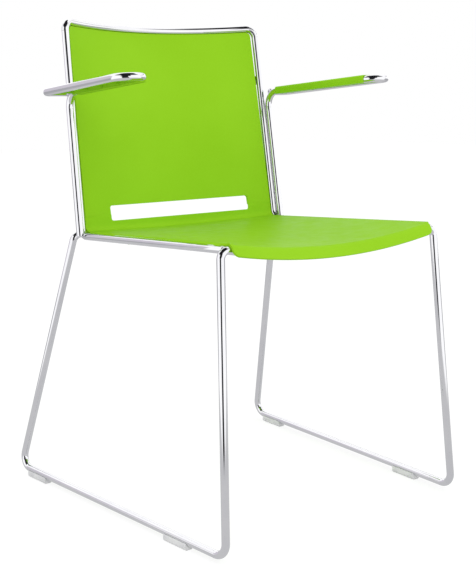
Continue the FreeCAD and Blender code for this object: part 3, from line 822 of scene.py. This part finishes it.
def makeBackTree():
    tree, start, given = newTree("bowedBack", backSockets)
    sheet = start.node("GeometryNodeMeshGrid", None,
                       {"Size X": 2.0, "Size Y": 1.0,
                        "Vertices X": given["Columns"], "Vertices Y": given["Rows"]})
    place = start.node("GeometryNodeInputPosition")
    u = start.node("ShaderNodeSeparateXYZ", None, {0: place}, "X")
    v = start.node("ShaderNodeSeparateXYZ", None, {0: place}, "Y") + 0.5  # u is -1 to 1, v is 0 to 1
    spread = start.maths("SINE", u * (math.pi / 2))  # columns crowd towards the edges, for the round corners
    corner, length, low = given["Corner"], given["Length"], given["Low"]
    top = length - given["Top Room"]
    widening = given["High Half"] - given["Low Half"]
    topHalf = given["Low Half"] + widening * top / length - given["Rod Room"]
    inCorner = (spread.absolute() * topHalf - (topHalf - corner)).most(0.0)
    drop = corner - start.maths("SQRT", (corner * corner - inCorner * inCorner).most(0.0))
    up = low + v * (top - drop - low)
    half = given["Low Half"] + widening * up / length
    climb = (up - given["Sheet Low"]) / (length - given["Sheet Low"])
    depth = given["Low Bow"] + (given["High Bow"] - given["Low Bow"]) * climb
    radius = (half * half + depth * depth) / (depth * 2.0)
    turn = spread * start.maths("ARCSINE", (half - given["Rod Room"]) / radius)
    away = depth - radius + radius * start.maths("COSINE", turn)
    x = start.node("ShaderNodeCombineXYZ", None, {0: radius * start.maths("SINE", turn)})
    point = stepAlong(stepAlong(given["Foot"], given["Up"], up), given["Behind"], away)
    point = start.node("ShaderNodeVectorMath", {"operation": "ADD"}, {0: point, 1: x})
    finishTree(start.node("GeometryNodeSetPosition", None, {"Geometry": sheet, "Position": point}),
               given["Finish"])
    return tree


def buildBack():
    foot = spot("backFoot")
    values = {
        "Length": backLength, "Low": panel["Low"], "Corner": panel["Corner"], "Low Bow": panel["Low Bow"],
        "High Bow": topDepth, "Low Half": chair["backFoot"][0], "High Half": chair["backTop"][0],
        "Rod Room": chair["rodRadius"] + panel["Clear"], "Top Room": chair["rodRadius"] + panel["Top Clear"],
        "Sheet Low": panel["Sheet Low"], "Columns": panel["Columns"] + 1, "Rows": panel["Rows"] + 1,
        "Foot": (0.0, foot.y, foot.z), "Up": tuple(upBack), "Behind": tuple(behind), "Finish": plastic,
    }
    sheet = applyTree(bpy.data.meshes.new("backSeed"), "backSheet", makeBackTree(), values)
    sheet.data.shade_smooth()
    thicken(sheet, panel["Skin"], 0.0)
    cutSlot(sheet, cutter)
    soften(sheet, *panel["Edge"])
    return harden(sheet, "backPanelShell")


backPanel = buildBack()
bpy.data.objects.remove(cutter)
print("back bowed")


# bosses behind the back and under the seat, where the screws go in

boss = {
    "radius": 0.006,
    "sides": 36,
    "seatAcross": 0.110,
    "seatBack": 0.020,
    "tabTop": 0.003,
    "backUp": (0.095, 0.255),
    "backIn": 0.017,
    "backHigh": 0.0025,
    "edge": (0.0005, 2),
}


def turnedBoss(foot, axis, length):
    shape = bmesh.new()
    bmesh.ops.create_cone(shape, cap_ends=True, segments=boss["sides"], radius1=boss["radius"],
                          radius2=boss["radius"], depth=length)
    shape.transform(axis.to_track_quat("Z", "Y").to_matrix().to_4x4())
    bmesh.ops.translate(shape, verts=shape.verts, vec=foot + axis.normalized() * (length / 2))
    mesh = meshFrom(shape, "boss")
    mesh.shade_smooth()
    seed = asObject(mesh, "bossSeed", plastic)
    soften(seed, *boss["edge"])
    return harden(seed, "boss")


def seatBosses():
    made = []
    rear = spot("rearTop")
    for x in (boss["seatAcross"], -boss["seatAcross"]):
        for y, z, way in ((chair["frontTop"][1], frontBarHeight(x), 1), (rear.y, rear.z, -1)):
            foot = Vector((x, y + way * boss["seatBack"], z - boss["tabTop"]))
            made.append(turnedBoss(foot, Vector((0, 0, 1)), underside(x, foot.y).z - foot.z))
    return made


def backBosses():
    made = []
    for up in boss["backUp"]:
        half, low = backHalf(up), panel["Sheet Low"]
        depth = panel["Low Bow"] + (topDepth - panel["Low Bow"]) * (up - low) / (backLength - low)
        radius = (half ** 2 + depth ** 2) / (2 * depth)
        turn = math.asin((half - boss["backIn"]) / radius)
        for side in (1, -1):
            place = backPoint(side * (half - boss["backIn"]), up, depth - radius + radius * math.cos(turn))
            axis = Vector((side * math.sin(turn), 0, 0)) + behind * math.cos(turn)
            made.append(turnedBoss(place, axis, panel["Skin"] / 2 + boss["backHigh"]))
    return made


def joinPieces(name, pieces):
    work = bmesh.new()
    for piece in pieces:
        work.from_mesh(piece.data)
    mesh = meshFrom(work, name)
    for piece in pieces:
        bpy.data.objects.remove(piece)
    return asObject(mesh, name, plastic)


show(joinPieces("seatMoulding", [seatTop, ribs] + flanges + seatBosses()), "green_plastic", "seat")
show(joinPieces("backMoulding", [backPanel] + backBosses()), "green_plastic", "back_panel")
print("bosses set")


# pads, glides and tabs keep the solid's shape with rounded edges, screws only get their material

merging = {"distance": 1e-6, "flatAngle": math.radians(0.6), "edgeAngle": 35.0}
clipped = {
    "arm_pad": ("ArmPad", plastic, "green_plastic", (0.0009, 3)),
    "front_glide": ("FrontGlide", milky, "clear_plastic", (0.0012, 3)),
    "rear_glide": ("RearGlide", milky, "clear_plastic", (0.0012, 3)),
}
welded = {"seat_tabs": "seatTabs", "back_tabs": "backTabs"}
weldedEdge = (0.0004, 2)


def roundedCopy(node, name, material, edge):
    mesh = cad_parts[node].data.copy()
    mesh.name = name
    work = bmesh.new()
    work.from_mesh(mesh)
    bmesh.ops.remove_doubles(work, verts=work.verts, dist=merging["distance"])
    bmesh.ops.dissolve_limit(work, angle_limit=merging["flatAngle"], verts=work.verts, edges=work.edges)
    work.to_mesh(mesh)
    work.free()
    mesh.shade_smooth()
    seed = asObject(mesh, name + "Seed", material)
    soften(seed, *edge, merging["edgeAngle"])
    return harden(seed, name)


for side in ("left", "right"):
    for node, (word, material, finish, edge) in clipped.items():
        show(roundedCopy(side + "_" + node, side + word, material, edge), finish, side + "_" + node)
for node, name in welded.items():
    show(roundedCopy(node, name, tabChrome, weldedEdge), "chrome_tab", node)
for node in ("seat_screws", "back_screws"):
    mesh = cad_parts[node].data
    mesh.materials.clear()
    mesh.materials.append(zinc)
print("small parts finished")


# floor and room: glossy rays meet a studio, the camera meets an almost white floor and a white room

plainWhite = (1.0, 1.0, 1.0, 1.0)
postTurn = (-24.0, 14.0)  # the dark post behind the camera and its path on the floor
stage = {
    "size": 9.0,
    "matte": (0.8, 0.8, 0.8, 1.0),
    "seenMatte": (0.30, 0.30, 0.30, 1.0),
    "seenGlow": 0.76,
    "nearEdge": (1.05, 1.65),
    "near": (0.68, 0.68, 0.69, 1.0),
    "beyond": (1.30, 1.30, 1.30, 1.0),
    "rear": (0.50, 0.50, 0.52, 1.0),
    "rearEdge": (91.0, 103.0),
    "dark": (0.04, 0.04, 0.045, 1.0),
    "pathSoft": 2.5,
}
studio = {
    "plain": 0.91,
    "towardsCamera": (-0.625, -0.780, 0.0),
    "imageRight": (0.780, -0.625, 0.0),
    "white": (1.30, 1.30, 1.30, 1.0),
    "lilac": (0.76, 0.72, 0.79, 1.0),
    "dark": (0.015, 0.015, 0.018, 1.0),
    "line": (0.32, 0.30, 0.34, 1.0),
    "lilacTurn": (-150.0, -96.0, 6.0),  # a third number is how soft the ends are
    "lilacTop": (22.0, 26.0),
    "lineHeight": (22.5, 26.5, 0.8),
    "lineTurn": (98.0, 104.0),
    "roofFoot": (36.0, 44.0),
    "roofTurn": (85.0, 105.0),
    "zenith": (60.0, 68.0),
    "doorTurn": (-34.0, 30.0, 5.0),
    "doorFoot": (9.0, 20.0),
    "postSoft": 3.0,
}


def turnFromCamera(start, direction):  # degrees from the camera's side round to the image's right
    ahead, aside = [start.node("ShaderNodeVectorMath", {"operation": "DOT_PRODUCT"},
                               {0: direction, 1: studio[axis]}, "Value")
                    for axis in ("towardsCamera", "imageRight")]
    return start.maths("ARCTAN2", aside, ahead) * (180 / math.pi)


def glow(start, kind, colour, strength=1.0):
    return start.node(kind, None, {"Color": colour, "Strength": strength})


def byRay(start, plain, mirrored, seen):  # what diffuse rays, glossy rays and the camera meet
    glossy = start.node("ShaderNodeLightPath", out="Is Glossy Ray")
    camera = start.node("ShaderNodeLightPath", out="Is Camera Ray")
    mixed = start.node("ShaderNodeMixShader", None, {0: glossy, 1: plain, 2: mirrored})
    return start.node("ShaderNodeMixShader", None, {0: camera, 1: mixed, 2: seen})


def floorMaterial():
    mat = bpy.data.materials.new("studioFloor")
    start = emptied(mat)
    place = start.node("ShaderNodeTexCoord", out="Object")
    away = start.node("ShaderNodeVectorMath", {"operation": "LENGTH"}, {0: place}, "Value")
    turn = turnFromCamera(start, place)
    rear = turn.absolute().clamped(*stage["rearEdge"])
    path = turn.within(*postTurn, stage["pathSoft"])
    mirrored = path.blend(rear.blend(stage["beyond"], stage["rear"]), stage["dark"])
    mirrored = away.clamped(*stage["nearEdge"]).blend(stage["near"], mirrored)
    matte = start.node("ShaderNodeBsdfDiffuse", None, {"Color": stage["matte"]})
    seenMatte = start.node("ShaderNodeBsdfDiffuse", None, {"Color": stage["seenMatte"]})
    seenGlow = glow(start, "ShaderNodeEmission", plainWhite, stage["seenGlow"])
    seen = start.node("ShaderNodeAddShader", None, {0: seenMatte, 1: seenGlow})
    mirror = glow(start, "ShaderNodeEmission", mirrored)
    byRay(start, matte, mirror, seen).into("ShaderNodeOutputMaterial")
    return mat


def makeFloor():
    mesh = bpy.data.meshes.new("floor")
    s = stage["size"]
    mesh.from_pydata([(-s, -s, 0), (s, -s, 0), (s, s, 0), (-s, s, 0)], [], [(0, 1, 2, 3)])
    floor = placed("floor", mesh)
    mesh.materials.append(floorMaterial())


def makeWorld():
    world = bpy.data.worlds.new("studio")
    bpy.context.scene.world = world
    start = emptied(world)
    direction = start.node("ShaderNodeTexCoord", out="Generated")
    height = start.node("ShaderNodeSeparateXYZ", None, {0: direction}, "Z")
    climb = start.maths("ARCSINE", height) * (180 / math.pi)
    turn = turnFromCamera(start, direction)
    line = climb.within(*studio["lineHeight"]) * turn.clamped(*studio["lineTurn"])
    lilac = turn.within(*studio["lilacTurn"]) * (1.0 - climb.clamped(*studio["lilacTop"]))
    roof = climb.clamped(*studio["roofFoot"]) * (1.0 - turn.absolute().clamped(*studio["roofTurn"]))
    zenith = climb.clamped(*studio["zenith"])
    door = turn.within(*studio["doorTurn"]) * climb.clamped(*studio["doorFoot"])
    post = turn.within(*postTurn, studio["postSoft"])
    dark = roof.most(zenith).most(door).most(post)
    wall = line.blend(lilac.blend(studio["white"], studio["lilac"]), studio["line"])
    mirror = glow(start, "ShaderNodeBackground", dark.blend(wall, studio["dark"]))
    plain = glow(start, "ShaderNodeBackground", plainWhite, studio["plain"])
    white = glow(start, "ShaderNodeBackground", plainWhite)
    byRay(start, plain, mirror, white).into("ShaderNodeOutputWorld")


# lamps and camera

lamps = {
    "keyLamp": {"place": (-1.2, -2.6, 2.0), "target": (0, 0, 0.5), "size": 2.2, "power": 22.0},
    "rearLamp": {"place": (-0.3, 2.2, 2.8), "target": (0, 0, 0.45), "size": 2.0, "power": 8.0},
}
view = {
    "focalPixels": 1130.1,
    "photoHighPixels": 579,
    "sensor": 36,
    "place": (-1.1506, -1.4358, 0.6599),
    "yaw": math.radians(38.69),
    "pitch": math.radians(10.154),
}


def makeLamp(name, lamp):
    data = bpy.data.lights.new(name, "AREA")
    data.size = lamp["size"]
    data.energy = lamp["power"]
    made = placed(name, data)
    made.location = lamp["place"]
    aim = Vector(lamp["target"]) - Vector(lamp["place"])
    made.rotation_euler = aim.to_track_quat("-Z", "Y").to_euler()
    made.visible_glossy = False


def makeCamera():
    data = bpy.data.cameras.new("camera")
    camera = placed("camera", data)
    data.lens = view["focalPixels"] * view["sensor"] / view["photoHighPixels"]
    data.sensor_width = view["sensor"]
    yaw, pitch = view["yaw"], view["pitch"]
    look = Vector((math.sin(yaw) * math.cos(pitch), math.cos(yaw) * math.cos(pitch), -math.sin(pitch)))
    camera.location = view["place"]
    camera.rotation_euler = look.to_track_quat("-Z", "Y").to_euler()
    bpy.context.scene.camera = camera


makeFloor()
makeWorld()
for name, lamp in lamps.items():
    makeLamp(name, lamp)
makeCamera()
bpy.context.scene.view_settings.view_transform = "Standard"
print("stage set")
